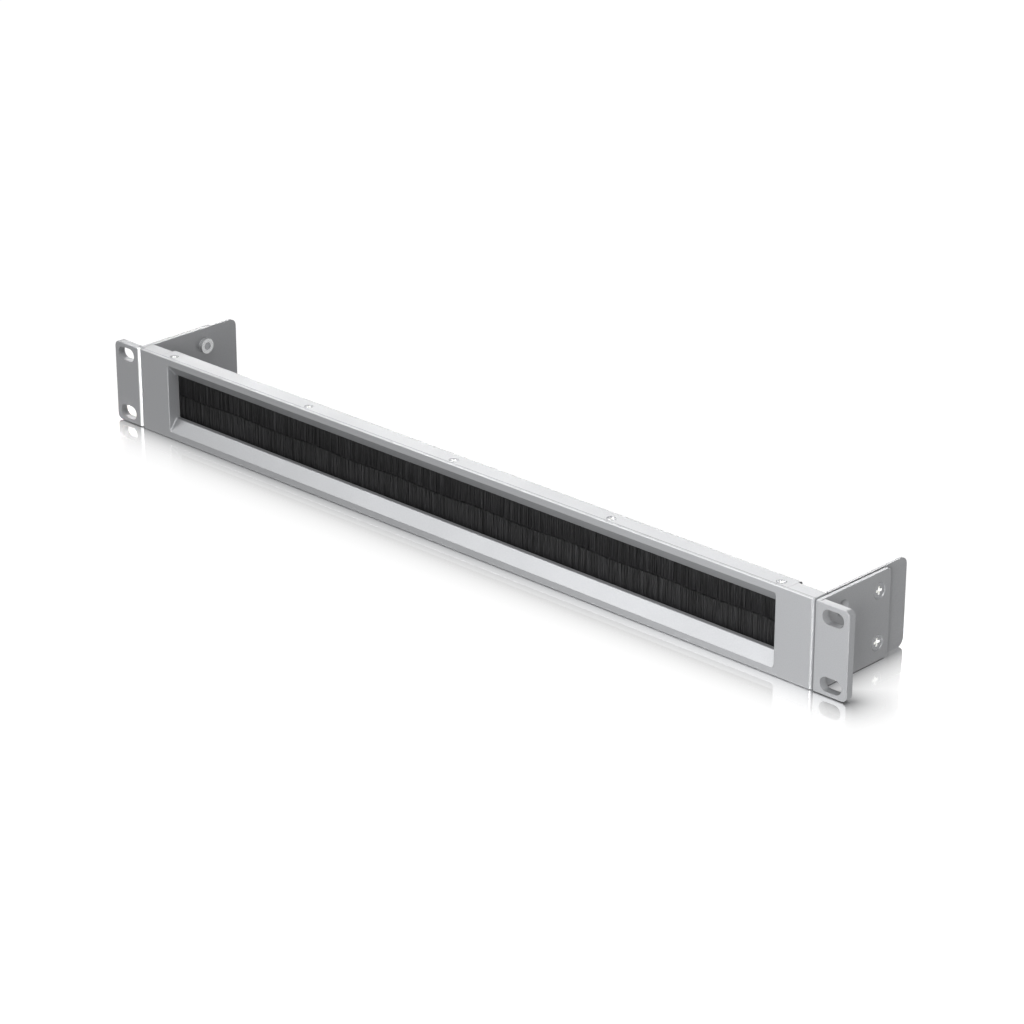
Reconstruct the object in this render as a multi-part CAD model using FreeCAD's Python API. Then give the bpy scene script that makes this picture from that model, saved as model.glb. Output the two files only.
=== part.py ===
import FreeCAD, Part
import math
import os

# A one-unit rack panel with a long window closed by two facing strip brushes, so that cables
# pass through and dust does not. Lengths are millimetres. X runs along the rack's width, Y from
# the front plane to the back and Z up. The origin is the middle of the four rack slots, on the
# front plane of the ears and the panel.

# Rack standard: overall width, height of one unit, and the slots, which lie 465.1 apart along
# X and 31.75 apart along Z
RACK_WIDTH = 482.6
RACK_UNIT = 44.45
UNIT_CLEARANCE = 0.85
SLOT_SIDE_DISTANCE = 8.75
SLOT_EDGE_DISTANCE = 6.35
SLOT_LENGTH = 12.0
SLOT_WIDTH = 7.0

# Ears: a little lower than the panel, with a thick front flange, a thinner side plate and the
# groove that eases the bend
EAR_UNIT_CLEARANCE = 1.45
EAR_WIDTH = 19.2
EAR_FLANGE = 4.0
EAR_PLATE = 2.0
EAR_DEPTH = 50.4
EAR_BEND_RADIUS = 1.5
EAR_FREE_CORNER_RADIUS = 2.8
EAR_REAR_CORNER_RADIUS = 2.5
EAR_EDGE_BEVEL = 0.3
EAR_GAP = 0.3
BEND_GROOVE_WIDTH = 0.5
BEND_GROOVE_DEPTH = 2.2

# Front panel: one folded sheet, its arms and its short end flanges
SHEET = 1.2
BEND_RADIUS = 1.5
EDGE_RADIUS = 0.6
ARM_DEPTH = 64.6
ARM_CORNER_RADIUS = 4.0
END_FLANGE_DEPTH = 8.7
RELIEF_WIDTH = 1.2
RELIEF_DEPTH = 1.3

# Window: straight end walls, sloped long walls and a straight lip behind the slopes
WINDOW_SIDE_BORDER = 21.4
WINDOW_TOP_BORDER = 3.7
SLOPE_DEPTH = 5.0
SLOPE_INSET = 6.1
LIP_DEPTH = 2.1
LIP_BEND_RADIUS = 0.6
WINDOW_CORNER_RADIUS = 0.8
WINDOW_EDGE_RADIUS = 0.5

# Rear frame: a channel behind the window that clamps the brushes
FRAME_SHEET = 1.2
FRAME_BEND_RADIUS = 1.4
FRAME_END_INSET = 15.8
FRAME_SEAM = 1.5
FRAME_GAP = 0.12
FRAME_WINDOW_RADIUS = 2.0
FRAME_WINDOW_MARGIN = 1.2
SEAT_FLANGE_OVERLAP = 8.0
SEAT_FLANGE_END_GAP = 1.0

# Frame screws, along the top and the bottom of the rear frame
FRAME_SCREWS = 5
FRAME_SCREW_END_DISTANCE = 6.0
FRAME_SCREW_Y = 4.5
FRAME_SCREW_DIAMETER = 2.5
FRAME_SCREW_LENGTH = 3.8
FRAME_SINK_DIAMETER = 5.0
FRAME_SCREW_SET = 0.15

# Ear screws and the clinch nuts that they turn into
EAR_SCREW_DIAMETER = 4.0
EAR_SCREW_LENGTH = 5.2
EAR_SINK_DIAMETER = 8.2
EAR_SCREW_SET = 0.4
EAR_HOLE_SPACING_Z = 25.0
EAR_HOLE_REAR_Y = 42.8
EAR_HOLE_SPACING_Y = 25.4
NUT_DIAMETER = 8.0
NUT_HEIGHT = 2.3
NUT_COLLAR_DIAMETER = 5.6

# Screw details and fits that every fastener shares
HOLE_CLEARANCE = 0.05
HEAD_CLEARANCE = 0.05
THREAD_CLEARANCE = 0.05
CROSS_SPAN = 0.56
CROSS_WIDTH = 0.17
CROSS_DEPTH = 0.45

# Strip brushes: crimped steel channel, core wire and doubled bristles
CHANNEL_WIDTH = 3.1
CHANNEL_SHEET = 0.5
CHANNEL_LIP_OVERLAP = 0.5
CHANNEL_PINCH = 0.3
CHANNEL_PINCH_HEIGHT = 1.2
CHANNEL_CLEARANCE = 0.05
BRUSH_END_CLEARANCE = 1.5
WIRE_DIAMETER = 0.9
BRISTLE_CLEARANCE = 0.05
BRISTLE_SPREAD = 2.4
BRISTLE_SPREAD_HEIGHT = 3.0
TUFT_PITCH = 8.0
TUFT_GROOVE = 0.35
TIP_GAP = 0.3
TIP_NOTCH = 0.6
TIP_WAVE = 0.35
TIP_WAVE_LENGTH = 57.0

# What follows from the sizes above
HALF_HEIGHT = (RACK_UNIT - UNIT_CLEARANCE) / 2
HALF_EAR = (RACK_UNIT - EAR_UNIT_CLEARANCE) / 2
HALF_RACK = RACK_WIDTH / 2
SLOT_Z = RACK_UNIT / 2 - SLOT_EDGE_DISTANCE
SLOT_X = HALF_RACK - SLOT_SIDE_DISTANCE
EAR_INNER_X = HALF_RACK - EAR_WIDTH
EAR_PLATE_X = EAR_INNER_X + EAR_PLATE
HALF_BODY = EAR_INNER_X - EAR_GAP
ARM_INNER_X = HALF_BODY - SHEET
WINDOW_X = HALF_BODY - WINDOW_SIDE_BORDER
WINDOW_Z = HALF_HEIGHT - WINDOW_TOP_BORDER
LIP_Z = WINDOW_Z - SLOPE_INSET
LIP_Y = SLOPE_DEPTH + LIP_DEPTH
FRAME_X = HALF_BODY - FRAME_END_INSET
CHANNEL_FRONT_Y = LIP_Y + CHANNEL_CLEARANCE
CHANNEL_BACK_Y = CHANNEL_FRONT_Y + CHANNEL_WIDTH
FRAME_INNER_Y = CHANNEL_BACK_Y + CHANNEL_CLEARANCE
FRAME_REAR_Y = FRAME_INNER_Y + FRAME_SHEET
SEAT_Z = HALF_HEIGHT - FRAME_SHEET
SEAT_UNDER_Z = SEAT_Z - SHEET
SEAT_REAR_Y = SHEET + SEAT_FLANGE_OVERLAP
CHANNEL_TOP_Z = SEAT_UNDER_Z - CHANNEL_CLEARANCE
CHANNEL_MOUTH_Z = LIP_Z + CHANNEL_LIP_OVERLAP
BRUSH_Y = (CHANNEL_FRONT_Y + CHANNEL_BACK_Y) / 2
BRUSH_X = FRAME_X - BRUSH_END_CLEARANCE
EAR_HOLE_Z = EAR_HOLE_SPACING_Z / 2
EAR_HOLE_FRONT_Y = EAR_HOLE_REAR_Y - EAR_HOLE_SPACING_Y

# How far a cutting tool runs past the face that it cuts
PAST = 1.0

# Share of its half-width that rounds a brush channel's back: all but a sliver of flat
BACK_ROUNDING = 0.999


def box(x0, x1, y0, y1, z0, z1):
    return Part.makeBox(x1 - x0, y1 - y0, z1 - z0, FreeCAD.Vector(x0, y0, z0))


def along_x(x):
    """Places a (y, z) outline in the plane at x."""
    return lambda y, z: FreeCAD.Vector(x, y, z)


def along_y(y):
    """Places an (x, z) outline in the plane at y."""
    return lambda x, z: FreeCAD.Vector(x, y, z)


def along_z(z):
    """Places an (x, y) outline in the plane at z."""
    return lambda x, y: FreeCAD.Vector(x, y, z)


def rounded_corner(before, corner, after):
    """The two ends and the middle of the arc that rounds a corner, given as (a, b, radius)."""
    a, b, radius = corner
    to_before = (before[0] - a, before[1] - b)
    to_after = (after[0] - a, after[1] - b)
    length_before = math.hypot(*to_before)
    length_after = math.hypot(*to_after)
    u = (to_before[0] / length_before, to_before[1] / length_before)
    v = (to_after[0] / length_after, to_after[1] / length_after)
    half_angle = math.acos(max(-1.0, min(1.0, u[0] * v[0] + u[1] * v[1]))) / 2
    setback = radius / math.tan(half_angle)
    bisector = (u[0] + v[0], u[1] + v[1])
    size = math.hypot(*bisector)
    reach = (radius / math.sin(half_angle) - radius) / size
    start = (a + u[0] * setback, b + u[1] * setback)
    middle = (a + bisector[0] * reach, b + bisector[1] * reach)
    end = (a + v[0] * setback, b + v[1] * setback)
    return start, middle, end


def outline_face(corners, place):
    """A flat face from corners given as (a, b) or, where the corner is round, (a, b, radius)."""
    corners = [corner if len(corner) == 3 else (corner[0], corner[1], 0.0) for corner in corners]
    edges = []
    runs = []
    for index, corner in enumerate(corners):
        if corner[2] == 0.0:
            runs.append((corner[:2], None, corner[:2]))
        else:
            after = corners[(index + 1) % len(corners)]
            runs.append(rounded_corner(corners[index - 1], corner, after))
    for index, (start, middle, end) in enumerate(runs):
        if middle is not None:
            edges.append(Part.Arc(place(*start), place(*middle), place(*end)).toShape())
        following = runs[(index + 1) % len(runs)][0]
        if math.dist(end, following) > 1e-6:
            edges.append(Part.LineSegment(place(*end), place(*following)).toShape())
    return Part.Face(Part.Wire(edges))


def prism_x(corners, x0, x1):
    return outline_face(corners, along_x(x0)).extrude(FreeCAD.Vector(x1 - x0, 0, 0))


def prism_y(corners, y0, y1):
    return outline_face(corners, along_y(y0)).extrude(FreeCAD.Vector(0, y1 - y0, 0))


def prism_z(corners, z0, z1):
    return outline_face(corners, along_z(z0)).extrude(FreeCAD.Vector(0, 0, z1 - z0))


def round_edges(shape, radius, wanted, along=None):
    """Rounds the edges of which every vertex is wanted and, if asked, that run along one axis."""
    edges = [edge for edge in shape.Edges if all(wanted(vertex.Point) for vertex in edge.Vertexes)]
    if along is not None:
        edges = [edge for edge in edges if runs_along(edge, along)]
    return shape.makeFillet(radius, edges)


def runs_along(edge, axis):
    first, last = edge.Vertexes[0].Point, edge.Vertexes[-1].Point
    return close((last - first).Length, abs(getattr(last - first, axis)))


def close(a, b):
    return abs(a - b) < 1e-5


def mirrored_x(shape):
    return shape.mirror(FreeCAD.Vector(0, 0, 0), FreeCAD.Vector(1, 0, 0))


def mirrored_z(shape):
    return shape.mirror(FreeCAD.Vector(0, 0, 0), FreeCAD.Vector(0, 0, 1))


def one_solid(shape):
    """The single solid that a boolean result holds, with its split faces merged."""
    solids = shape.removeSplitter().Solids
    if len(solids) != 1:
        raise ValueError("a piece came out as %d solids" % len(solids))
    return solids[0]


# Fasteners, made along -Z with the top of the head at the origin, then turned into place

def countersink(sink_radius, hole_radius, depth):
    """The cutter of a countersunk hole from a surface at z = 0 down to the given depth."""
    return turned_cone(sink_radius, hole_radius, depth, PAST)


def turned_cone(large_radius, small_radius, depth, above):
    """A right-angled cone, large_radius at z = 0 and carried on above it, with a stem to -depth."""
    profile = [
        FreeCAD.Vector(0, 0, above),
        FreeCAD.Vector(large_radius + above, 0, above),
        FreeCAD.Vector(small_radius, 0, small_radius - large_radius),
        FreeCAD.Vector(small_radius, 0, -depth),
        FreeCAD.Vector(0, 0, -depth),
        FreeCAD.Vector(0, 0, above),
    ]
    return Part.Face(Part.makePolygon(profile)).revolve(
        FreeCAD.Vector(0, 0, 0), FreeCAD.Vector(0, 0, 1), 360)


def cross_recess(head_diameter):
    """The cross-shaped driver recess: two crossing slots with sides that draw in downwards."""
    span = CROSS_SPAN * head_diameter / 2
    half_width = CROSS_WIDTH * head_diameter / 2
    depth = CROSS_DEPTH * head_diameter / 2
    side = [(-span, PAST), (span, PAST), (span, 0), (half_width, -depth), (-half_width, -depth), (-span, 0)]
    slot = prism_y(side, -half_width, half_width)
    turned = slot.copy()
    turned.rotate(FreeCAD.Vector(0, 0, 0), FreeCAD.Vector(0, 0, 1), 90)
    return slot.fuse(turned)


def countersunk_screw(diameter, length, sink_diameter, set_below):
    """A cross-recessed screw whose conical head sits set_below under the countersunk surface."""
    head = sink_diameter / 2 - set_below - HEAD_CLEARANCE
    return one_solid(turned_cone(head, diameter / 2, length, 0).cut(cross_recess(2 * head)))


def turned_to(shape, direction, position):
    """Turns a shape made along +Z so that its +Z follows direction, and moves it to position."""
    turned = shape.copy()
    rotation = FreeCAD.Rotation(FreeCAD.Vector(0, 0, 1), FreeCAD.Vector(*direction))
    turned.Placement = FreeCAD.Placement(FreeCAD.Vector(*position), rotation).multiply(shape.Placement)
    return turned


# Places of the fasteners

def frame_screw_places():
    """The x of each screw in a row on the rear frame, evenly spaced between its ends."""
    reach = FRAME_X - FRAME_SCREW_END_DISTANCE
    step = 2 * reach / (FRAME_SCREWS - 1)
    return [-reach + step * index for index in range(FRAME_SCREWS)]


def ear_hole_places():
    """The (y, z) of the four countersunk holes in an ear's side plate."""
    return [(y, z) for y in (EAR_HOLE_FRONT_Y, EAR_HOLE_REAR_Y) for z in (EAR_HOLE_Z, -EAR_HOLE_Z)]


def nut_places():
    """The (y, z) of the clinch nuts in an arm, which line up with the ear's rear holes."""
    return [(EAR_HOLE_REAR_Y, EAR_HOLE_Z), (EAR_HOLE_REAR_Y, -EAR_HOLE_Z)]


# Front panel

def panel_front_block():
    """The face with its four short end flanges, still closed along the top and the bottom."""
    block = box(-HALF_BODY, HALF_BODY, 0, END_FLANGE_DEPTH, -HALF_HEIGHT, HALF_HEIGHT)
    block = round_edges(block, BEND_RADIUS,
                        lambda p: close(abs(p.x), HALF_BODY) and close(p.y, 0), along="z")
    rim = [edge for edge in block.Edges
           if all(close(abs(v.Point.z), HALF_HEIGHT) for v in edge.Vertexes)
           and not all(close(v.Point.y, END_FLANGE_DEPTH) for v in edge.Vertexes)]
    block = block.makeFillet(EDGE_RADIUS, rim)
    hollow = box(-ARM_INNER_X, ARM_INNER_X, SHEET, END_FLANGE_DEPTH + PAST,
                 SHEET - HALF_HEIGHT, HALF_HEIGHT - SHEET)
    hollow = round_edges(hollow, BEND_RADIUS - SHEET,
                         lambda p: close(abs(p.x), ARM_INNER_X) and close(p.y, SHEET), along="z")
    return block.cut(hollow)


def panel_arm():
    """The right arm: a flat plate with rounded rear corners and a relief notch at each flange."""
    outline = [
        (END_FLANGE_DEPTH, -HALF_HEIGHT),
        (ARM_DEPTH, -HALF_HEIGHT, ARM_CORNER_RADIUS),
        (ARM_DEPTH, HALF_HEIGHT, ARM_CORNER_RADIUS),
        (END_FLANGE_DEPTH, HALF_HEIGHT),
    ]
    arm = prism_x(outline, ARM_INNER_X, HALF_BODY)
    for side in (-1, 1):
        inner_z = side * (HALF_HEIGHT - RELIEF_DEPTH)
        outer_z = side * (HALF_HEIGHT + PAST)
        notch = box(ARM_INNER_X - PAST, HALF_BODY + PAST, END_FLANGE_DEPTH, END_FLANGE_DEPTH + RELIEF_WIDTH,
                    min(inner_z, outer_z), max(inner_z, outer_z))
        arm = arm.cut(notch)
    for y, z in nut_places():
        hole_radius = NUT_COLLAR_DIAMETER / 2 + THREAD_CLEARANCE
        arm = arm.cut(turned_to(Part.makeCylinder(hole_radius, SHEET + 2 * PAST), (1, 0, 0),
                                (ARM_INNER_X - PAST, y, z)))
    return arm


def window_funnel():
    """The formed wall round the window, as a solid block, and the void that opens it."""
    slope = SLOPE_INSET / SLOPE_DEPTH
    wall_rise = SHEET * math.hypot(1.0, slope)
    ahead = 2 * PAST
    outer_half = [
        (SHEET / 2, WINDOW_Z - slope * SHEET / 2 + wall_rise),
        (SLOPE_DEPTH + (wall_rise - SHEET) / slope, LIP_Z + SHEET),
        (LIP_Y, LIP_Z + SHEET),
    ]
    void_half = [
        (-ahead, WINDOW_Z + slope * ahead),
        (SLOPE_DEPTH, LIP_Z, LIP_BEND_RADIUS),
        (LIP_Y + PAST, LIP_Z),
    ]
    lower = [(corner[0], -corner[1]) + tuple(corner[2:]) for corner in reversed(outer_half)]
    wall = prism_x(outer_half + lower, -WINDOW_X - SHEET, WINDOW_X + SHEET)
    lower = [(corner[0], -corner[1]) + tuple(corner[2:]) for corner in reversed(void_half)]
    void = prism_x(void_half + lower, -WINDOW_X, WINDOW_X)
    ends = [edge for edge in void.Edges
            if all(close(abs(v.Point.x), WINDOW_X) for v in edge.Vertexes)
            and not close(edge.Vertexes[0].Point.y, edge.Vertexes[-1].Point.y)]
    return wall, void.makeFillet(WINDOW_CORNER_RADIUS, ends)


def panel_seat_flanges(panel):
    """Opens the top and the bottom for the rear frame and adds the stepped flanges under it."""
    seat_x = FRAME_X - SEAT_FLANGE_END_GAP
    for side in (-1, 1):
        low, high = sorted((side * SEAT_Z, side * (HALF_HEIGHT + PAST)))
        panel = panel.cut(box(-FRAME_X - FRAME_GAP, FRAME_X + FRAME_GAP,
                              FRAME_SEAM, END_FLANGE_DEPTH + PAST, low, high))
        low, high = sorted((side * SEAT_UNDER_Z, side * SEAT_Z))
        panel = panel.fuse(box(-seat_x, seat_x, SHEET / 2, SEAT_REAR_Y, low, high))
    return panel


def panel_screw_holes(panel):
    """Holes in the stepped flanges, tapped for the frame screws."""
    hole_radius = FRAME_SCREW_DIAMETER / 2 + THREAD_CLEARANCE
    for side in (-1, 1):
        for x in frame_screw_places():
            under = (x, FRAME_SCREW_Y, side * SEAT_UNDER_Z)
            drill = Part.makeCylinder(hole_radius, SHEET + 2 * PAST)
            drill.translate(FreeCAD.Vector(0, 0, -SHEET - PAST))
            panel = panel.cut(turned_to(drill, (0, 0, -side), under))
    return panel


def front_panel():
    panel = panel_front_block()
    wall, void = window_funnel()
    panel = panel.fuse(wall).cut(void).removeSplitter()
    panel = round_edges(
        panel, WINDOW_EDGE_RADIUS,
        lambda p: close(p.y, 0) and abs(p.x) < WINDOW_X + PAST and abs(p.z) < WINDOW_Z + PAST)
    arm = panel_arm()
    panel = panel.fuse([arm, mirrored_x(arm)])
    panel = panel_seat_flanges(panel)
    return one_solid(panel_screw_holes(panel))


# Rear frame

def rear_frame():
    """A channel-shaped sheet with the brushes' window in its back and screw holes in its legs."""
    front = FRAME_SEAM + FRAME_GAP
    inner_radius = FRAME_BEND_RADIUS - FRAME_SHEET
    inner_z = HALF_HEIGHT - FRAME_SHEET
    section = [
        (front, HALF_HEIGHT),
        (FRAME_REAR_Y, HALF_HEIGHT, FRAME_BEND_RADIUS),
        (FRAME_REAR_Y, -HALF_HEIGHT, FRAME_BEND_RADIUS),
        (front, -HALF_HEIGHT),
        (front, -inner_z),
        (FRAME_INNER_Y, -inner_z, inner_radius),
        (FRAME_INNER_Y, inner_z, inner_radius),
        (front, inner_z),
    ]
    frame = prism_x(section, -FRAME_X, FRAME_X)
    window_x = WINDOW_X + FRAME_WINDOW_MARGIN
    window = [
        (-window_x, -LIP_Z, FRAME_WINDOW_RADIUS),
        (window_x, -LIP_Z, FRAME_WINDOW_RADIUS),
        (window_x, LIP_Z, FRAME_WINDOW_RADIUS),
        (-window_x, LIP_Z, FRAME_WINDOW_RADIUS),
    ]
    frame = frame.cut(prism_y(window, FRAME_INNER_Y - PAST, FRAME_REAR_Y + PAST))
    hole_radius = FRAME_SCREW_DIAMETER / 2 + HOLE_CLEARANCE
    sink = countersink(FRAME_SINK_DIAMETER / 2, hole_radius, FRAME_SHEET + PAST)
    for side in (-1, 1):
        for x in frame_screw_places():
            frame = frame.cut(turned_to(sink, (0, 0, side), (x, FRAME_SCREW_Y, side * HALF_HEIGHT)))
    return one_solid(frame)


# Ears

def ear_slot(z):
    """The cutter of one rack slot, with round ends."""
    end = (SLOT_LENGTH - SLOT_WIDTH) / 2
    slot = box(SLOT_X - end, SLOT_X + end, -PAST, EAR_FLANGE + PAST, z - SLOT_WIDTH / 2, z + SLOT_WIDTH / 2)
    for x in (SLOT_X - end, SLOT_X + end):
        slot = slot.fuse(turned_to(Part.makeCylinder(SLOT_WIDTH / 2, EAR_FLANGE + 2 * PAST),
                                   (0, 1, 0), (x, -PAST, z)))
    return slot.removeSplitter()


def ear():
    """The right ear: front flange with two slots, side plate with four countersunk holes."""
    groove_y = EAR_FLANGE - BEND_GROOVE_DEPTH
    plan = [
        (EAR_INNER_X, 0, EAR_BEND_RADIUS),
        (HALF_RACK, 0),
        (HALF_RACK, EAR_FLANGE),
        (EAR_PLATE_X + BEND_GROOVE_WIDTH, EAR_FLANGE),
        (EAR_PLATE_X + BEND_GROOVE_WIDTH, groove_y),
        (EAR_PLATE_X, groove_y),
        (EAR_PLATE_X, EAR_DEPTH),
        (EAR_INNER_X, EAR_DEPTH),
    ]
    body = prism_z(plan, -HALF_EAR, HALF_EAR)
    body = round_edges(body, EAR_FREE_CORNER_RADIUS,
                       lambda p: close(p.x, HALF_RACK) and close(abs(p.z), HALF_EAR), along="y")
    body = round_edges(body, EAR_REAR_CORNER_RADIUS,
                       lambda p: close(p.y, EAR_DEPTH) and close(abs(p.z), HALF_EAR), along="x")
    rim = [edge for edge in body.Edges if all(close(vertex.Point.y, 0) for vertex in edge.Vertexes)]
    body = body.makeChamfer(EAR_EDGE_BEVEL, rim)
    for z in (-SLOT_Z, SLOT_Z):
        body = body.cut(ear_slot(z))
    hole_radius = EAR_SCREW_DIAMETER / 2 + HOLE_CLEARANCE
    sink = countersink(EAR_SINK_DIAMETER / 2, hole_radius, EAR_PLATE + PAST)
    for y, z in ear_hole_places():
        body = body.cut(turned_to(sink, (1, 0, 0), (EAR_PLATE_X, y, z)))
    return one_solid(body)


# Fasteners in place

def clinch_nut():
    """A nut made along +Z: body below z = 0, collar above it, standing out by the ear's gap."""
    bore = EAR_SCREW_DIAMETER / 2 + THREAD_CLEARANCE
    outer = NUT_DIAMETER / 2
    collar = NUT_COLLAR_DIAMETER / 2
    collar_top = SHEET + EAR_GAP
    profile = [
        FreeCAD.Vector(bore, 0, collar_top),
        FreeCAD.Vector(collar, 0, collar_top),
        FreeCAD.Vector(collar, 0, 0),
        FreeCAD.Vector(outer, 0, 0),
        FreeCAD.Vector(outer, 0, -NUT_HEIGHT),
        FreeCAD.Vector(bore, 0, -NUT_HEIGHT),
        FreeCAD.Vector(bore, 0, collar_top),
    ]
    return Part.Face(Part.makePolygon(profile)).revolve(
        FreeCAD.Vector(0, 0, 0), FreeCAD.Vector(0, 0, 1), 360)


def ear_fasteners():
    """The clinch nuts in both arms and the screws that hold the ears to them."""
    pieces = {}
    screw = countersunk_screw(EAR_SCREW_DIAMETER, EAR_SCREW_LENGTH, EAR_SINK_DIAMETER, EAR_SCREW_SET)
    nut = clinch_nut()
    for level, (y, z) in zip(("upper", "lower"), nut_places()):
        nut_right = turned_to(nut, (1, 0, 0), (ARM_INNER_X, y, z))
        screw_right = turned_to(screw, (1, 0, 0), (EAR_PLATE_X - EAR_SCREW_SET, y, z))
        pieces["clinch_nut_right_" + level] = nut_right
        pieces["clinch_nut_left_" + level] = mirrored_x(nut_right)
        pieces["ear_screw_right_" + level] = screw_right
        pieces["ear_screw_left_" + level] = mirrored_x(screw_right)
    return pieces


def frame_fasteners():
    """The two rows of screws that hold the rear frame to the stepped flanges."""
    pieces = {}
    screw = countersunk_screw(FRAME_SCREW_DIAMETER, FRAME_SCREW_LENGTH, FRAME_SINK_DIAMETER, FRAME_SCREW_SET)
    for row, side in (("top", 1), ("bottom", -1)):
        for number, x in enumerate(frame_screw_places(), 1):
            head = (x, FRAME_SCREW_Y, side * (HALF_HEIGHT - FRAME_SCREW_SET))
            pieces["frame_screw_%s_%d" % (row, number)] = turned_to(screw, (0, 0, side), head)
    return pieces


# Strip brushes. The upper one is made here, mouth down, and the lower one mirrors it

def channel_shell(half_width, top_z):
    """The (y, z) outline of a channel's outside or inside, from one side of its mouth to the other."""
    pinched = half_width - CHANNEL_PINCH
    pinch_top = CHANNEL_MOUTH_Z + CHANNEL_PINCH_HEIGHT
    shoulder = pinch_top + CHANNEL_PINCH
    radius = half_width * BACK_ROUNDING
    return [
        (BRUSH_Y - pinched, CHANNEL_MOUTH_Z),
        (BRUSH_Y - pinched, pinch_top),
        (BRUSH_Y - half_width, shoulder),
        (BRUSH_Y - half_width, top_z, radius),
        (BRUSH_Y + half_width, top_z, radius),
        (BRUSH_Y + half_width, shoulder),
        (BRUSH_Y + pinched, pinch_top),
        (BRUSH_Y + pinched, CHANNEL_MOUTH_Z),
    ]


def brush_channel():
    """A strip folded into a round-backed channel and crimped at its mouth."""
    outer = channel_shell(CHANNEL_WIDTH / 2, CHANNEL_TOP_Z)
    inner = channel_shell(CHANNEL_WIDTH / 2 - CHANNEL_SHEET, CHANNEL_TOP_Z - CHANNEL_SHEET)
    return one_solid(prism_x(outer, -BRUSH_X, BRUSH_X).cut(
        prism_x(inner, -BRUSH_X - PAST, BRUSH_X + PAST)))


def wire_z():
    """The height of the core wire, in the middle of the channel's round back."""
    return CHANNEL_TOP_Z - CHANNEL_WIDTH / 2


def brush_wire():
    wire = Part.makeCylinder(WIRE_DIAMETER / 2, 2 * BRUSH_X)
    return turned_to(wire, (1, 0, 0), (-BRUSH_X, BRUSH_Y, wire_z()))


def tip_height(x):
    """How far the line where the two brushes meet wanders above or below the middle."""
    return TIP_WAVE * math.sin(2 * math.pi * x / TIP_WAVE_LENGTH)


def bristle_root():
    """The doubled bristles inside the channel, round the wire, down to where the tufts begin."""
    inner = CHANNEL_WIDTH / 2 - CHANNEL_SHEET - BRISTLE_CLEARANCE
    outline = channel_shell(inner, CHANNEL_TOP_Z - CHANNEL_SHEET - BRISTLE_CLEARANCE)
    pinched = inner - CHANNEL_PINCH
    spread = BRISTLE_SPREAD / 2 - TUFT_GROOVE
    flare_z = CHANNEL_MOUTH_Z - BRISTLE_SPREAD_HEIGHT
    outline = outline[1:-1] + [
        (BRUSH_Y + pinched, CHANNEL_MOUTH_Z),
        (BRUSH_Y + spread, flare_z),
        (BRUSH_Y - spread, flare_z),
        (BRUSH_Y - pinched, CHANNEL_MOUTH_Z),
    ]
    root = prism_x(outline, -BRUSH_X, BRUSH_X)
    bore = Part.makeCylinder(WIRE_DIAMETER / 2 + BRISTLE_CLEARANCE, 2 * (BRUSH_X + PAST))
    return root.cut(turned_to(bore, (1, 0, 0), (-BRUSH_X - PAST, BRUSH_Y, wire_z())))


def bristle_tufts():
    """The free bristles: a wall of upright ridges, one to a tuft, with a pointed tip on each."""
    tufts = int(2 * BRUSH_X / TUFT_PITCH)
    pitch = 2 * BRUSH_X / tufts
    crest = BRISTLE_SPREAD / 2
    valley = crest - TUFT_GROOVE
    front = []
    back = []
    tips = [(-BRUSH_X, CHANNEL_MOUTH_Z)]
    for index in range(tufts):
        left = -BRUSH_X + pitch * index
        middle = left + pitch / 2
        front += [(left, BRUSH_Y - valley), (middle, BRUSH_Y - crest)]
        back += [(left, BRUSH_Y + valley), (middle, BRUSH_Y + crest)]
        tips.append((left, tip_height(left) + TIP_GAP / 2 + TIP_NOTCH))
        tips.append((middle, tip_height(middle) + TIP_GAP / 2))
    front.append((BRUSH_X, BRUSH_Y - valley))
    back.append((BRUSH_X, BRUSH_Y + valley))
    tips.append((BRUSH_X, tip_height(BRUSH_X) + TIP_GAP / 2 + TIP_NOTCH))
    tips.append((BRUSH_X, CHANNEL_MOUTH_Z))
    top = CHANNEL_MOUTH_Z - BRISTLE_SPREAD_HEIGHT
    ridges = prism_z(front + back[::-1], -TIP_WAVE - PAST, top)
    return ridges.common(prism_y(tips, BRUSH_Y - BRISTLE_SPREAD, BRUSH_Y + BRISTLE_SPREAD))


def bristles():
    return one_solid(bristle_root().fuse(bristle_tufts()))


def lower_bristles(upper):
    """The lower brush: the upper one turned over end for end, so that the two lines of tips match."""
    turned = upper.copy()
    turned.rotate(FreeCAD.Vector(0, BRUSH_Y, 0), FreeCAD.Vector(0, 1, 0), 180)
    return turned


def brushes():
    channel = brush_channel()
    wire = brush_wire()
    upper = bristles()
    return {
        "brush_channel_upper": channel,
        "brush_channel_lower": mirrored_z(channel),
        "brush_wire_upper": wire,
        "brush_wire_lower": mirrored_z(wire),
        "bristles_upper": upper,
        "bristles_lower": lower_bristles(upper),
    }


def all_pieces():
    right_ear = ear()
    pieces = {
        "front_panel": front_panel(),
        "rear_frame": rear_frame(),
        "ear_right": right_ear,
        "ear_left": mirrored_x(right_ear),
    }
    pieces.update(brushes())
    pieces.update(ear_fasteners())
    pieces.update(frame_fasteners())
    return pieces


os.makedirs("parts", exist_ok=True)
for name, shape in all_pieces().items():
    shape.exportStep("parts/%s.step" % name)
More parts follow.
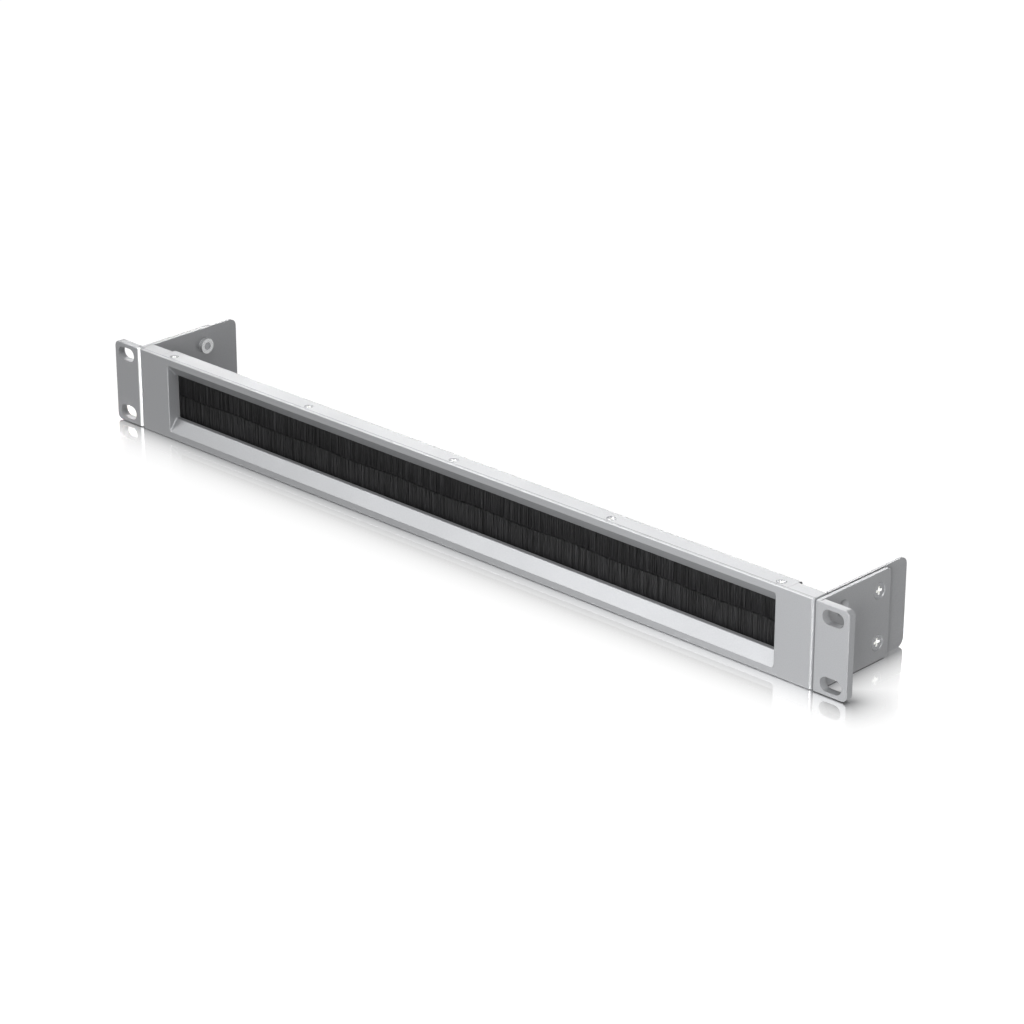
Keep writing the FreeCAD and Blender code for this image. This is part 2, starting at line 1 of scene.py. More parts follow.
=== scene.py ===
import bpy
import math
import numpy as np
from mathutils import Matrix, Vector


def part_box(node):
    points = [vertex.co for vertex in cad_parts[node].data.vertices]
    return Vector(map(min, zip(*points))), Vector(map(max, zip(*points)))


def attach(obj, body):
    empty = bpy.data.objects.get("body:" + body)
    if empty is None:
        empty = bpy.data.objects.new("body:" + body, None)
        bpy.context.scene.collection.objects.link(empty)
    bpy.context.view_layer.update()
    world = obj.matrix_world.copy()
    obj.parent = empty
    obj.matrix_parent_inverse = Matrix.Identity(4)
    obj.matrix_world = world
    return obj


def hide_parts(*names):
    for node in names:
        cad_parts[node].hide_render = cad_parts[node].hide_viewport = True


# A low rack panel in satin silver, with a long window closed by two facing strip brushes. It
# stands on a white, glossy studio floor. Lengths are metres, in the part's own frame.
MM = 0.001

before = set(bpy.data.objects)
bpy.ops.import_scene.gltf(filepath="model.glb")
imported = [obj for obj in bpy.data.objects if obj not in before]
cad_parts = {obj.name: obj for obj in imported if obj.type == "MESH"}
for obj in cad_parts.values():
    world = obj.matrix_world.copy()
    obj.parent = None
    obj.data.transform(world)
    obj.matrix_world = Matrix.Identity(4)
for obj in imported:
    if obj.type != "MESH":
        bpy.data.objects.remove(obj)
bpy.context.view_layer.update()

# Camera: where it stands round its target, and its sensor's width and its lens in millimetres
CAMERA_AZIMUTH = math.radians(43.9045)
CAMERA_ELEVATION = math.radians(23.1455)
CAMERA_DISTANCE = 1.58439
CAMERA_TARGET = np.array([0.04228, 0.0, 0.009217])
SENSOR = 36.0
LENS = 120.316

# Floor: half its side, its own grey, what is added to it so that it looks white, how strongly it
# mirrors the object, over what distance that fades, and the object's foot as rectangles in
# (|x|, y): the ears' flanges, the panel with its rear frame, and the arms with the ears' plates
FLOOR_HALF = 4.0
FLOOR_GREY = "#5f5f5f"
FLOOR_LIFT = 0.962
FLOOR_MIRROR = 0.96
FLOOR_FADE = 11.0 * MM
FOOTPRINT = (
    ((0.0, 0.0), (0.2413, 0.004)),
    ((0.0, 0.0), (0.2218, 0.0115)),
    ((0.2206, 0.0), (0.2241, 0.0646)),
)

# Light: what the surroundings give to matt surfaces, how bright they are to look at, and the
# lamps, each with its place, target, width, height and power in watts
FILL_LIGHT = 0.05
BACKGROUND = 1.0
LAMPS = {
    "lamp_behind": ((-0.72, 0.93, 0.55), (0.0, 0.02, 0.0), 0.9, 0.6, 5.8),
    "lamp_left": ((-0.66, -0.62, 0.72), (0.0, 0.0, 0.0), 0.8, 0.4, 5.3),
    "lamp_near": ((0.36, -0.35, 0.1), (0.15, 0.0, 0.0), 0.2, 0.2, 2.45),
    "lamp_below": ((0.5, -0.77, -0.39), (0.0, 0.0, 0.0), 1.2, 0.3, 3.4),
    "lamp_high": ((0.15, -0.35, 0.8), (-0.1, 0.0, 0.0), 0.3, 0.3, 2.4),
    "lamp_side": ((1.05, -0.2, 0.53), (0.24, 0.04, 0.0), 0.3, 0.3, 3.3),
}

# Paint: its colour on the panel and on the ears, its metallic share, and a line of painted shade
# where two sheets meet along the top and the bottom, for their hairline gap, drawn wide enough to
# show
PAINT = "#8a8b8d"
EAR_PAINT = "#898a8c"
PAINT_METAL = 0.3
SEAM_Y = 1.5 * MM
SEAM_WIDTH = 0.35 * MM
SEAM_HEIGHT = 21.6 * MM
SEAM_SHADE_COLOUR = "#4e4e50"

# Screws: from where inwards the walls of their recess carry a painted highlight, and how deep
EAR_RECESS_X = 223.65 * MM
FRAME_RECESS_Z = 21.6 * MM
RECESS_DEPTH = 2.0 * MM
RECESS_HIGHLIGHT_COLOUR = "#f4f4f2"

# Edges with painted light: a painted highlight along the panel's top front edge and on the left
# ear's inner bend, and painted shade on the ears' outer bevel, darker and not metallic so that it
# shows no highlight. Each gives the axis across, the middle and half width on it, how deep from
# the front, the colour and the metallic share. Only the left ear's inner bend gets the painted
# highlight. That is set by look, where a highlight is seen.
PANEL_EDGE_HIGHLIGHT = (("Z", 21.65 * MM, 0.17 * MM, 0.3 * MM, "#b8b9ba", 0.64),)
EAR_BEVEL_SHADE = (("X", 241.15 * MM, 0.25 * MM, 0.45 * MM, "#7e7f81", 0.0),)
LEFT_EAR_BEND_HIGHLIGHT = (("X", 222.8 * MM, 0.75 * MM, 1.45 * MM, "#d8d9da", 0.8),)

# The brushes: where the part has them along and across the panel, their height at the root, in
# the channel's mouth and where they have spread, and how the line of their tips wanders. The half
# depths are those of the filaments' middle lines, a little less than the part's.
BRUSH_HALF_LENGTH = 204.5 * MM
BRUSH_Y = 8.7 * MM
ROOT_Z = 17.0 * MM
MOUTH_Z = 12.5 * MM
SPREAD_Z = 9.5 * MM
ROOT_HALF_DEPTH = 0.75 * MM
MOUTH_HALF_DEPTH = 0.62 * MM
SPREAD_HALF_DEPTH = 1.12 * MM
TIP_HALF_DEPTH = 0.94 * SPREAD_HALF_DEPTH
TIP_GAP = 0.3 * MM
TIP_WAVE = 0.35 * MM
TIP_WAVE_LENGTH = 57.0 * MM

# Filaments: thicker than the usual 0.2 mm so that they show. A radius is a share of
# FILAMENT_RADIUS, and a depth is a share of the brush's half depth. One in three stands at the
# rear and is thicker still.
FILAMENTS = 7400
FILAMENT_SIDES = 3
FILAMENT_RADIUS = 0.15 * MM
RADIUS_SHARE = (0.75, 1.15)
TIP_RADIUS_SHARE = 0.1
TIP_LENGTH = 0.25 * MM
END_MARGIN = 0.6 * MM
DEPTH_SHARE = (-1.0, 0.5)
REAR_EVERY = 3
REAR_RADIUS_SHARE = 1.8
REAR_DEPTH_SHARE = (0.55, 0.85)
REAR_OVERLAP = 0.7 * MM
OVERLAP_SHARE = (0.5, 1.0)
REAR_LEAN = 0.06 * MM

# Bunches, as tufts make them, in two layers that part at a share of the half depth: their pitch,
# by what share of it they are shifted, what share of their width is left at the tips, and how
# much they and their filaments lean and are cut short
LAYER_SHARE = -0.3
BUNCH_PITCH = 1.3 * MM
BUNCH_SHIFT = 0.45
BUNCH_CLOSING = (0.7, 1.0)
BUNCH_LEAN = 0.22 * MM
FILAMENT_LEAN = 0.22 * MM
BUNCH_SHORTENING = 0.1 * MM
FILAMENT_SHORTENING = 0.05 * MM
MOST_SHORTENING = 0.5 * MM

# How grey filaments are, from 0 to 1: the mean, how much bunches and filaments differ, and the
# share to which the rear ones are darkened, as painted shade deeper in the brush
TONE = 0.3
BUNCH_TONE = 0.25
FILAMENT_TONE = 0.2
REAR_SHADE_SHARE = 0.7


def linear(code):
    """The linear colour of an sRGB hex code.

    A value v from 0 to 1 becomes v / 12.92 up to 0.04045, and above it (v + 0.055) / 1.055 to
    the power 2.4.
    """
    parts = np.array([int(code[start:start + 2], 16) for start in (1, 3, 5)]) / 255.0
    parts = np.where(parts <= 0.04045, parts / 12.92, ((parts + 0.055) / 1.055) ** 2.4)
    return (float(parts[0]), float(parts[1]), float(parts[2]), 1.0)


def add_node(tree, kind, settings=(), **inputs):
    """Adds a node with its settings and inputs.

    An input is a value, or the output socket that feeds it. It goes by the socket's name with _
    for a space, or by _N as the socket of index N.
    """
    node = tree.nodes.new(kind)
    for name, value in dict(settings).items():
        setattr(node, name, value)
    for name, value in inputs.items():
        key = int(name[1:]) if name[1:].isdigit() else name.replace("_", " ")
        socket = node.inputs[key]
        if isinstance(value, bpy.types.NodeSocket):
            tree.links.new(value, socket)
        else:
            socket.default_value = value
    return node


def seeing_rays(tree):
    """A node that is 1 for camera, glossy and transmission rays, and 0 for matt surfaces' rays."""
    light = add_node(tree, "ShaderNodeLightPath")
    seen = add_node(tree, "ShaderNodeMath", {"operation": "MAXIMUM"},
                    _0=light.outputs["Is Camera Ray"], _1=light.outputs["Is Glossy Ray"])
    return add_node(tree, "ShaderNodeMath", {"operation": "MAXIMUM"},
                    _0=seen.outputs[0], _1=light.outputs["Is Transmission Ray"])


def new_material(name):
    """A material with an empty node tree, and that tree."""
    material = bpy.data.materials.new(name)
    material.use_nodes = True
    material.node_tree.nodes.clear()
    return material, material.node_tree


def satin_silver_paint(name, colour, highlight_shade_edges, seam=None):
    """Silver lacquer sprayed on steel sheet: fine metal flakes in it and a faint orange peel.

    The flakes are 0.05 mm and can't show, so their sparkle is drawn at 0.5 mm. It changes the
    colour by up to 7% and grains the surface. The peel is 3 mm across and very shallow, and
    clouds some 30 mm across take the roughness from 0.3 to 0.34. Along the top and the bottom,
    at depth seam where given, runs a dark line of painted shade for the hairline gap where two
    sheets meet. Each painted edge is (axis, middle, half width, depth, colour, metallic share),
    with X taken as |x|: there a lighter, more metallic colour paints a highlight, and a darker,
    duller one paints shade.
    """
    material, tree = new_material(name)
    place = add_node(tree, "ShaderNodeTexCoord").outputs["Object"]
    folded = add_node(tree, "ShaderNodeVectorMath", {"operation": "ABSOLUTE"}, _0=place)
    signed = add_node(tree, "ShaderNodeSeparateXYZ", Vector=place)
    half = add_node(tree, "ShaderNodeSeparateXYZ", Vector=folded.outputs[0])
    sides = {"X": half.outputs["X"], "Z": signed.outputs["Z"]}
    flakes = add_node(tree, "ShaderNodeTexNoise", Vector=place, Scale=2000.0, Detail=2.0)
    clouds = add_node(tree, "ShaderNodeTexNoise", Vector=place, Scale=35.0, Detail=3.0)
    peel = add_node(tree, "ShaderNodeTexNoise", Vector=place, Scale=330.0, Detail=1.0)
    shade = add_node(tree, "ShaderNodeMapRange", Value=flakes.outputs["Fac"],
                     From_Min=0.25, From_Max=0.75, To_Min=0.93, To_Max=1.05)
    tint = add_node(tree, "ShaderNodeMix", {"data_type": "RGBA", "blend_type": "MULTIPLY"},
                    _0=1.0, _6=linear(colour), _7=shade.outputs["Result"])
    rough = add_node(tree, "ShaderNodeMapRange", Value=clouds.outputs["Fac"],
                     From_Min=0.3, From_Max=0.7, To_Min=0.3, To_Max=0.34)
    grain = add_node(tree, "ShaderNodeBump", Height=flakes.outputs["Fac"], Strength=0.12,
                     Distance=0.05 * MM)
    surface = add_node(tree, "ShaderNodeBump", Height=peel.outputs["Fac"], Strength=0.1,
                       Distance=0.05 * MM, Normal=grain.outputs["Normal"])
    shown, metal = tint.outputs[2], PAINT_METAL
    if seam is not None:
        # Painted shade: a dark line drawn where the hairline gap between two sheets runs
        near = add_node(tree, "ShaderNodeMath", {"operation": "COMPARE"},
                        _0=signed.outputs["Y"], _1=seam, _2=SEAM_WIDTH / 2)
        upper = add_node(tree, "ShaderNodeMath", {"operation": "GREATER_THAN"},
                         _0=half.outputs["Z"], _1=SEAM_HEIGHT)
        line = add_node(tree, "ShaderNodeMath", {"operation": "MULTIPLY"},
                        _0=near.outputs[0], _1=upper.outputs[0])
        shown = add_node(tree, "ShaderNodeMix", {"data_type": "RGBA"}, _0=line.outputs[0],
                         _6=shown, _7=linear(SEAM_SHADE_COLOUR)).outputs[2]
    # Painted light on edges: a lighter, more metallic colour for a highlight, a darker, duller one
    # for shade
    for axis, middle, reach, depth, highlight_shade_colour, highlight_shade_metal in highlight_shade_edges:
        along = add_node(tree, "ShaderNodeMath", {"operation": "COMPARE"},
                         _0=sides[axis], _1=middle, _2=reach)
        front = add_node(tree, "ShaderNodeMath", {"operation": "LESS_THAN"},
                         _0=signed.outputs["Y"], _1=depth)
        highlight_shade_mask = add_node(tree, "ShaderNodeMath", {"operation": "MULTIPLY"},
                        _0=along.outputs[0], _1=front.outputs[0])
        shown = add_node(tree, "ShaderNodeMix", {"data_type": "RGBA"}, _0=highlight_shade_mask.outputs[0],
                         _6=shown, _7=linear(highlight_shade_colour)).outputs[2]
        metal = add_node(tree, "ShaderNodeMix", {"data_type": "FLOAT"}, _0=highlight_shade_mask.outputs[0],
                         _2=metal, _3=highlight_shade_metal).outputs[0]
    shader = add_node(tree, "ShaderNodeBsdfPrincipled", Base_Color=shown, Metallic=metal,
                      Roughness=rough.outputs["Result"], Normal=surface.outputs["Normal"])
    add_node(tree, "ShaderNodeOutputMaterial", Surface=shader.outputs["BSDF"])
    return material


def galvanised_steel(name):
    """Hot-dipped strip: dull zinc with crystal spangles some 5 mm across, each its own grey.

    A frost of some 0.7 mm roughens them.
    """
    material, tree = new_material(name)
    place = add_node(tree, "ShaderNodeTexCoord").outputs["Object"]
    cells = add_node(tree, "ShaderNodeTexVoronoi", Vector=place, Scale=200.0)
    frost = add_node(tree, "ShaderNodeTexNoise", Vector=place, Scale=1500.0, Detail=3.0)
    grey = add_node(tree, "ShaderNodeSeparateColor", Color=cells.outputs["Color"])
    colour = add_node(tree, "ShaderNodeMix", {"data_type": "RGBA"}, _0=grey.outputs["Red"],
                      _6=linear("#9b9ea1"), _7=linear("#c3c6c8"))
    rough = add_node(tree, "ShaderNodeMapRange", Value=grey.outputs["Green"],
                     To_Min=0.36, To_Max=0.55)
    bump = add_node(tree, "ShaderNodeBump", Height=frost.outputs["Fac"], Strength=0.2,
                    Distance=0.03 * MM)
    shader = add_node(tree, "ShaderNodeBsdfPrincipled", Base_Color=colour.outputs[2], Metallic=1.0,
                      Roughness=rough.outputs["Result"], Normal=bump.outputs["Normal"])
    add_node(tree, "ShaderNodeOutputMaterial", Surface=shader.outputs["BSDF"])
    return material


def plated_steel(name, colour, roughest, metallic=1.0, recess=None, axis="X"):
    """Turned or cold-formed steel under a thin plating, with faint 0.3 mm tool marks.

    Stains some 1.7 mm across darken it by up to a tenth. Where recess is given, a near-white
    painted highlight is drawn from there inwards along the axis, by RECESS_DEPTH: on the walls of
    a screw's cross. A clear chromate film over the plating takes the metallic share down.
    """
    material, tree = new_material(name)
    place = add_node(tree, "ShaderNodeTexCoord").outputs["Object"]
    marks = add_node(tree, "ShaderNodeTexNoise", Vector=place, Scale=3300.0, Detail=2.0)
    stains = add_node(tree, "ShaderNodeTexNoise", Vector=place, Scale=600.0, Detail=2.0)
    shade = add_node(tree, "ShaderNodeMapRange", Value=stains.outputs["Fac"],
                     From_Min=0.3, From_Max=0.7, To_Min=0.9, To_Max=1.0)
    tint = add_node(tree, "ShaderNodeMix", {"data_type": "RGBA", "blend_type": "MULTIPLY"},
                    _0=1.0, _6=linear(colour), _7=shade.outputs["Result"])
    shown = tint.outputs[2]
    # Painted highlight: from recess inwards the cross's walls are drawn near white, as if they
    # caught the light
    if recess is not None:
        apart = add_node(tree, "ShaderNodeSeparateXYZ", Vector=place)
        height = add_node(tree, "ShaderNodeMath", {"operation": "ABSOLUTE"},
                          _0=apart.outputs[axis])
        recess_highlight = add_node(tree, "ShaderNodeMath", {"operation": "COMPARE"},
                          _0=height.outputs[0], _1=recess - RECESS_DEPTH / 2, _2=RECESS_DEPTH / 2)
        shown = add_node(tree, "ShaderNodeMix", {"data_type": "RGBA"}, _0=recess_highlight.outputs[0],
                         _6=shown, _7=linear(RECESS_HIGHLIGHT_COLOUR)).outputs[2]
    rough = add_node(tree, "ShaderNodeMapRange", Value=marks.outputs["Fac"],
                     From_Min=0.3, From_Max=0.7, To_Min=roughest / 2, To_Max=roughest)
    bump = add_node(tree, "ShaderNodeBump", Height=marks.outputs["Fac"], Strength=0.15,
                    Distance=0.03 * MM)
    shader = add_node(tree, "ShaderNodeBsdfPrincipled", Base_Color=shown, Metallic=metallic,
                      Roughness=rough.outputs["Result"], Normal=bump.outputs["Normal"])
    add_node(tree, "ShaderNodeOutputMaterial", Surface=shader.outputs["BSDF"])
    return material


def black_nylon(name):
    """Extruded black nylon filament, with a soft sheen along it.

    The attribute called tone says how grey a filament is. The greyer ones are a little smoother.
    """
    material, tree = new_material(name)
    tone = add_node(tree, "ShaderNodeAttribute", {"attribute_name": "tone"}).outputs["Fac"]
    colour = add_node(tree, "ShaderNodeMix", {"data_type": "RGBA"}, _0=tone,
                      _6=linear("#050506"), _7=linear("#18181a"))
    rough = add_node(tree, "ShaderNodeMapRange", Value=tone, To_Min=0.6, To_Max=0.45)
    shader = add_node(tree, "ShaderNodeBsdfPrincipled", Base_Color=colour.outputs[2],
                      Roughness=rough.outputs["Result"], IOR=1.53,
                      Specular_IOR_Level=0.28)
    add_node(tree, "ShaderNodeOutputMaterial", Surface=shader.outputs["BSDF"])
    return material


def studio_floor(name):
    """Pale lacquered board that mirrors what stands on it.

    The mirror's share is FLOOR_MIRROR exp(-d / FLOOR_FADE), where d is the distance from the
    object's foot: the least of the distances from the rectangles of FOOTPRINT.
    """
    material, tree = new_material(name)
    place = add_node(tree, "ShaderNodeTexCoord").outputs["Object"]
    folded = add_node(tree, "ShaderNodeVectorMath", {"operation": "ABSOLUTE"}, _0=place)
    apart = add_node(tree, "ShaderNodeSeparateXYZ", Vector=place)
    half = add_node(tree, "ShaderNodeSeparateXYZ", Vector=folded.outputs[0])
    flat = add_node(tree, "ShaderNodeCombineXYZ", X=half.outputs["X"], Y=apart.outputs["Y"])
    away = None
    for low, high in FOOTPRINT:
        middle = ((low[0] + high[0]) / 2, (low[1] + high[1]) / 2, 0.0)
        reach = ((high[0] - low[0]) / 2, (high[1] - low[1]) / 2, 0.0)
        offset = add_node(tree, "ShaderNodeVectorMath", {"operation": "SUBTRACT"},
                          _0=flat.outputs[0], _1=middle)
        spread = add_node(tree, "ShaderNodeVectorMath", {"operation": "ABSOLUTE"},
                          _0=offset.outputs[0])
        beyond = add_node(tree, "ShaderNodeVectorMath", {"operation": "SUBTRACT"},
                          _0=spread.outputs[0], _1=reach)
        outside = add_node(tree, "ShaderNodeVectorMath", {"operation": "MAXIMUM"},
                           _0=beyond.outputs[0])
        distance = add_node(tree, "ShaderNodeVectorMath", {"operation": "LENGTH"},
                            _0=outside.outputs[0])
        if away is None:
            away = distance.outputs["Value"]
        else:
            away = add_node(tree, "ShaderNodeMath", {"operation": "MINIMUM"},
                            _0=away, _1=distance.outputs["Value"]).outputs[0]
    fade = add_node(tree, "ShaderNodeMath", {"operation": "MULTIPLY"},
                    _0=away, _1=-1.0 / FLOOR_FADE)
    fade = add_node(tree, "ShaderNodeMath", {"operation": "EXPONENT"}, _0=fade.outputs[0])
    mirror = add_node(tree, "ShaderNodeMath", {"operation": "MULTIPLY"},
                      _0=fade.outputs[0], _1=FLOOR_MIRROR)
    seen = seeing_rays(tree)
    share = add_node(tree, "ShaderNodeMath", {"operation": "MULTIPLY"},
                     _0=seen.outputs[0], _1=mirror.outputs[0])
    lift = add_node(tree, "ShaderNodeMath", {"operation": "MULTIPLY"},
                    _0=seen.outputs[0], _1=FLOOR_LIFT)
    matt = add_node(tree, "ShaderNodeBsdfDiffuse", Color=linear(FLOOR_GREY))
    glow = add_node(tree, "ShaderNodeEmission", Color=(1.0, 1.0, 1.0, 1.0),
                    Strength=lift.outputs[0])
    base = add_node(tree, "ShaderNodeAddShader", _0=matt.outputs[0], _1=glow.outputs[0])
    gloss = add_node(tree, "ShaderNodeBsdfAnisotropic", Color=(1.0, 1.0, 1.0, 1.0), Roughness=0.06)
    mixed = add_node(tree, "ShaderNodeMixShader", _0=share.outputs[0],
                     _1=base.outputs[0], _2=gloss.outputs[0])
    add_node(tree, "ShaderNodeOutputMaterial", Surface=mixed.outputs[0])
    return material


def tip_line(x):
    """The height at which the brushes meet: TIP_WAVE times the sine of 2 pi x / TIP_WAVE_LENGTH."""
    return TIP_WAVE * np.sin(2 * math.pi * x / TIP_WAVE_LENGTH)


def filament_curtain(name, side, seed):
    """The free filaments of one brush, upper for side 1 and lower for side -1.

    Filament i stands at x_i, evenly along the strip, and at depth y_i = BRUSH_Y + d_i h(z). The
    share d_i is random, and the half depth h is least in the channel's mouth and most where the
    brush has spread. Every third one is a rear filament, nearly straight and thicker, so that no
    light passes between them. The others belong to bunches with middles m_i. On the way from
    root to tip their x goes from x_i to m_i + k (x_i - m_i) + lean of the bunch + own lean, along
    the square of the way, so that a bunch closes towards its tips. The tip ends half of TIP_GAP
    off tip_line(x), and further off by a random shortening. A rear filament goes past the line by
    up to REAR_OVERLAP, because there the two brushes mesh. Round the centre line stands a tube of
    FILAMENT_SIDES sides, which narrows to TIP_RADIUS_SHARE over the last TIP_LENGTH.
    """
    rng = np.random.default_rng(seed)
    reach = BRUSH_HALF_LENGTH - END_MARGIN
    x = np.linspace(-reach, reach, FILAMENTS)
    rear = np.arange(FILAMENTS) % REAR_EVERY == 0
    depth = np.where(rear, rng.uniform(*REAR_DEPTH_SHARE, FILAMENTS),
                     rng.uniform(*DEPTH_SHARE, FILAMENTS))
    bunches = int(2 * BRUSH_HALF_LENGTH / BUNCH_PITCH)
    layer = (depth > LAYER_SHARE).astype(int)
    middles = (np.linspace(-reach, reach, bunches)[None, :]
               + rng.uniform(-BUNCH_SHIFT, BUNCH_SHIFT, (2, bunches)) * BUNCH_PITCH)
    bunch = np.clip(np.rint((x + reach) / (2 * reach) * (bunches - 1)).astype(int), 0, bunches - 1)
    middle = middles[layer, bunch]
    bunch_lean = rng.normal(0.0, BUNCH_LEAN, (2, bunches))[layer, bunch]
    close = rng.uniform(*BUNCH_CLOSING, (2, bunches))[layer, bunch]
    end_x = middle + close * (x - middle) + bunch_lean + rng.normal(0.0, FILAMENT_LEAN, FILAMENTS)
    end_x = np.where(rear, x + rng.normal(0.0, REAR_LEAN, FILAMENTS), end_x)
    end_x = np.clip(end_x, -reach, reach)
    shortening = (rng.exponential(FILAMENT_SHORTENING, FILAMENTS)
                  + rng.uniform(0, BUNCH_SHORTENING, (2, bunches))[layer, bunch])
    tip_z = side * tip_line(end_x) + TIP_GAP / 2 + np.minimum(shortening, MOST_SHORTENING)
    past = side * tip_line(end_x) - rng.uniform(*OVERLAP_SHARE, FILAMENTS) * REAR_OVERLAP
    tip_z = np.where(rear, past, tip_z)

    heights = np.stack([np.full(FILAMENTS, ROOT_Z), np.full(FILAMENTS, MOUTH_Z),
                        np.full(FILAMENTS, SPREAD_Z), tip_z + TIP_LENGTH, tip_z], axis=1)
    way = (ROOT_Z - heights) / (ROOT_Z - tip_z)[:, None]
    half_depth = np.array([ROOT_HALF_DEPTH, MOUTH_HALF_DEPTH, SPREAD_HALF_DEPTH,
                           SPREAD_HALF_DEPTH, TIP_HALF_DEPTH])
    centre = np.empty((FILAMENTS, heights.shape[1], 3))
    centre[..., 0] = x[:, None] + (end_x - x)[:, None] * way ** 2
    centre[..., 1] = BRUSH_Y + depth[:, None] * half_depth[None, :]
    centre[..., 2] = side * heights

    turn = (rng.uniform(0, 2 * math.pi, FILAMENTS)[:, None]
            + side * 2 * math.pi * np.arange(FILAMENT_SIDES)[None, :] / FILAMENT_SIDES)
    size = FILAMENT_RADIUS * np.where(rear, REAR_RADIUS_SHARE,
                                      rng.uniform(*RADIUS_SHARE, FILAMENTS))
    taper = np.array([1.0, 1.0, 1.0, 1.0, TIP_RADIUS_SHARE])
    points = centre[:, :, None, :].repeat(FILAMENT_SIDES, axis=2)
    points[..., 0] += (size[:, None] * taper)[:, :, None] * np.cos(turn)[:, None, :]
    points[..., 1] += (size[:, None] * taper)[:, :, None] * np.sin(turn)[:, None, :]

    curtain = tubes(name, points)
    tone = np.clip(TONE + BUNCH_TONE * rng.normal(size=(2, bunches))[layer, bunch]
                   + FILAMENT_TONE * rng.normal(size=FILAMENTS), 0.0, 1.0)
    # Painted shade: the rear filaments are drawn darker, deeper in the brush
    tone = tone * np.where(rear, REAR_SHADE_SHARE, 1.0)
    values = np.repeat(tone, points.shape[1] * FILAMENT_SIDES).astype(np.float32)
    curtain.data.attributes.new("tone", "FLOAT", "POINT").data.foreach_set("value", values)
    return curtain


def tubes(name, points):
    """One mesh of many closed tubes. points[i, r, s] is point s of ring r of tube i.

    Four-sided faces join each ring to the next, and one face closes each end.
    """
    count, rings, sides, _ = points.shape
    index = np.arange(count * rings * sides).reshape(count, rings, sides)
    after = np.roll(index, -1, axis=2)
    walls = np.stack([index[:, :-1], index[:, 1:], after[:, 1:], after[:, :-1]], axis=-1)
    walls = walls.reshape(-1, 4)
    roots = index[:, 0].reshape(-1, sides)
    tips = index[:, -1, ::-1].reshape(-1, sides)
    loops = np.concatenate([walls.ravel(), roots.ravel(), tips.ravel()])
    sizes = np.concatenate([np.full(len(walls), 4), np.full(2 * count, sides)])
    mesh = bpy.data.meshes.new(name)
    mesh.vertices.add(count * rings * sides)
    mesh.vertices.foreach_set("co", points.astype(np.float32).ravel())
    mesh.loops.add(len(loops))
    mesh.loops.foreach_set("vertex_index", loops.astype(np.int32))
    mesh.polygons.add(len(sizes))
    mesh.polygons.foreach_set("loop_start", (np.cumsum(sizes) - sizes).astype(np.int32))
    mesh.update(calc_edges=True)
    mesh.validate()
    piece = bpy.data.objects.new(name, mesh)
    bpy.context.collection.objects.link(piece)
    return piece


def dress(nodes, material):
    """Gives the named pieces of the part one material."""
    for node in nodes:
        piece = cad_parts[node]
        piece.data.materials.clear()
        piece.data.materials.append(material)


def area_lamp(name, place, target, width, height, power):
    """A soft rectangular lamp at place that faces target. It isn't seen directly.

    From pointing straight down it tilts up by the angle whose tangent is the target's level
    distance over its depth below the lamp, and then turns about z to the target's bearing.
    """
    data = bpy.data.lights.new(name, "AREA")
    data.shape = "RECTANGLE"
    data.size = width
    data.size_y = height
    data.energy = power
    lamp = bpy.data.objects.new(name, data)
    bpy.context.collection.objects.link(lamp)
    aim = np.array(target, float) - np.array(place, float)
    lamp.location = place
    lamp.rotation_euler = (math.atan2(math.hypot(aim[0], aim[1]), -aim[2]), 0.0,
                           math.atan2(-aim[0], aim[1]))
    lamp.visible_camera = False
    data.cycles.use_multiple_importance_sampling = False
    return lamp


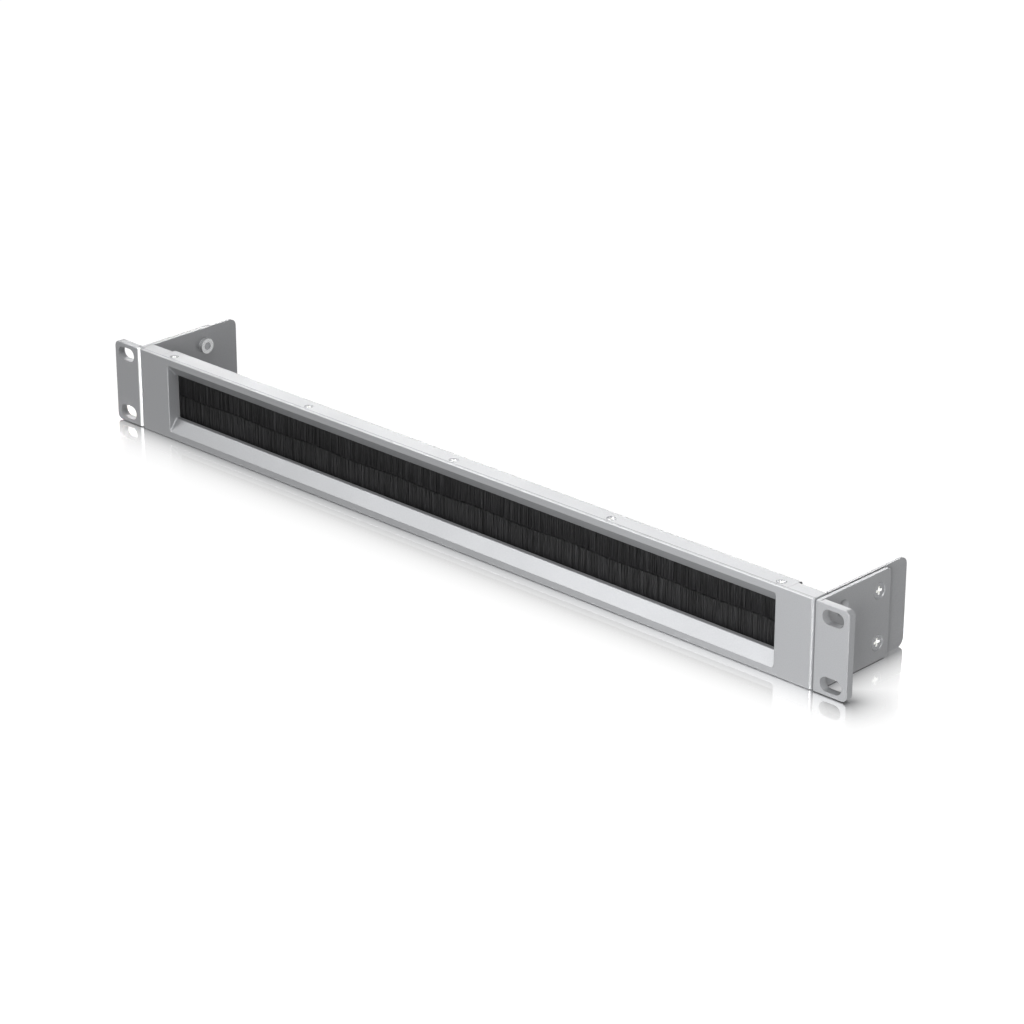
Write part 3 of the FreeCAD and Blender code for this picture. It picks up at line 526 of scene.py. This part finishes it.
def studio():
    """The floor under the part, the white surroundings, the lamps and the camera.

    The camera stands off its target by CAMERA_DISTANCE, in the direction that has CAMERA_AZIMUTH
    from -Y towards +X and CAMERA_ELEVATION upwards.
    """
    corners = FLOOR_HALF * np.array([[1.0, 1.0], [-1.0, 1.0], [-1.0, -1.0], [1.0, -1.0]])
    mesh = bpy.data.meshes.new("studio_floor")
    floor_z = float(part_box("front_panel")[0][2])
    mesh.from_pydata([(a, b, floor_z) for a, b in corners.tolist()], [], [(0, 1, 2, 3)])
    floor = bpy.data.objects.new("studio_floor", mesh)
    bpy.context.collection.objects.link(floor)
    mesh.materials.append(studio_floor("studio_floor"))
    floor.visible_shadow = False

    world = bpy.data.worlds.new("studio_world")
    world.use_nodes = True
    bpy.context.scene.world = world
    tree = world.node_tree
    tree.nodes.clear()
    seen = seeing_rays(tree)
    strength = add_node(tree, "ShaderNodeMapRange", Value=seen.outputs[0],
                        To_Min=FILL_LIGHT, To_Max=BACKGROUND)
    glow = add_node(tree, "ShaderNodeBackground", Color=(1.0, 1.0, 1.0, 1.0),
                    Strength=strength.outputs["Result"])
    add_node(tree, "ShaderNodeOutputWorld", Surface=glow.outputs[0])

    for name, (place, target, width, height, power) in LAMPS.items():
        area_lamp(name, place, target, width, height, power)

    data = bpy.data.cameras.new("camera")
    data.sensor_fit = "HORIZONTAL"
    data.sensor_width = SENSOR
    data.lens = LENS
    data.clip_end = 100.0
    camera = bpy.data.objects.new("camera", data)
    bpy.context.collection.objects.link(camera)
    towards = np.array([math.cos(CAMERA_ELEVATION) * math.sin(CAMERA_AZIMUTH),
                        -math.cos(CAMERA_ELEVATION) * math.cos(CAMERA_AZIMUTH),
                        math.sin(CAMERA_ELEVATION)])
    camera.location = (CAMERA_TARGET + towards * CAMERA_DISTANCE).tolist()
    camera.rotation_euler = (math.pi / 2 - CAMERA_ELEVATION, 0.0, CAMERA_AZIMUTH)
    bpy.context.scene.camera = camera
    bpy.context.scene.view_settings.view_transform = "Standard"


def brushes():
    """Two curtains of filaments in place of the plain bristle solids."""
    nylon = black_nylon("black_nylon")
    for name, node, side, seed in (("filaments_upper", "bristles_upper", 1, 11),
                                   ("filaments_lower", "bristles_lower", -1, 23)):
        curtain = filament_curtain(name, side, seed)
        curtain.data.materials.append(nylon)
        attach(curtain, "root")
        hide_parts(node)


def metalwork():
    """Paint, zinc and plating on the part's pieces, and plain black on its bristle solids."""
    nodes = list(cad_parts)
    # The panel carries a painted highlight on its top front edge and painted shade in its seams
    dress(["front_panel", "rear_frame"], satin_silver_paint(
        "satin_silver_paint", PAINT, PANEL_EDGE_HIGHLIGHT, seam=SEAM_Y))
    # The ears' outer bevel is drawn darker and not metallic, as painted shade
    dress(["ear_right"], satin_silver_paint("satin_silver_ear_right", EAR_PAINT, EAR_BEVEL_SHADE))
    # The left ear's inner bend also carries a painted highlight, lighter and more metallic
    dress(["ear_left"], satin_silver_paint(
        "satin_silver_ear_left", EAR_PAINT, EAR_BEVEL_SHADE + LEFT_EAR_BEND_HIGHLIGHT))
    galvanised = galvanised_steel("galvanised_strip")
    dress([node for node in nodes if node.startswith(("brush_channel", "brush_wire"))], galvanised)
    dress([node for node in nodes if node.startswith("clinch_nut")],
          plated_steel("zinc_plated_steel", "#d4d5d6", 0.4, metallic=0.5))
    dress([node for node in nodes if node.startswith("ear_screw")],
          plated_steel("silvered_ear_screws", "#8b8c8e", 0.3, recess=EAR_RECESS_X, axis="X"))
    dress([node for node in nodes if node.startswith("frame_screw")],
          plated_steel("silvered_frame_screws", "#68696b", 0.4, recess=FRAME_RECESS_Z, axis="Z"))
    dress([node for node in nodes if node.startswith("bristles")], black_nylon("black_nylon_core"))


studio()
metalwork()
brushes()
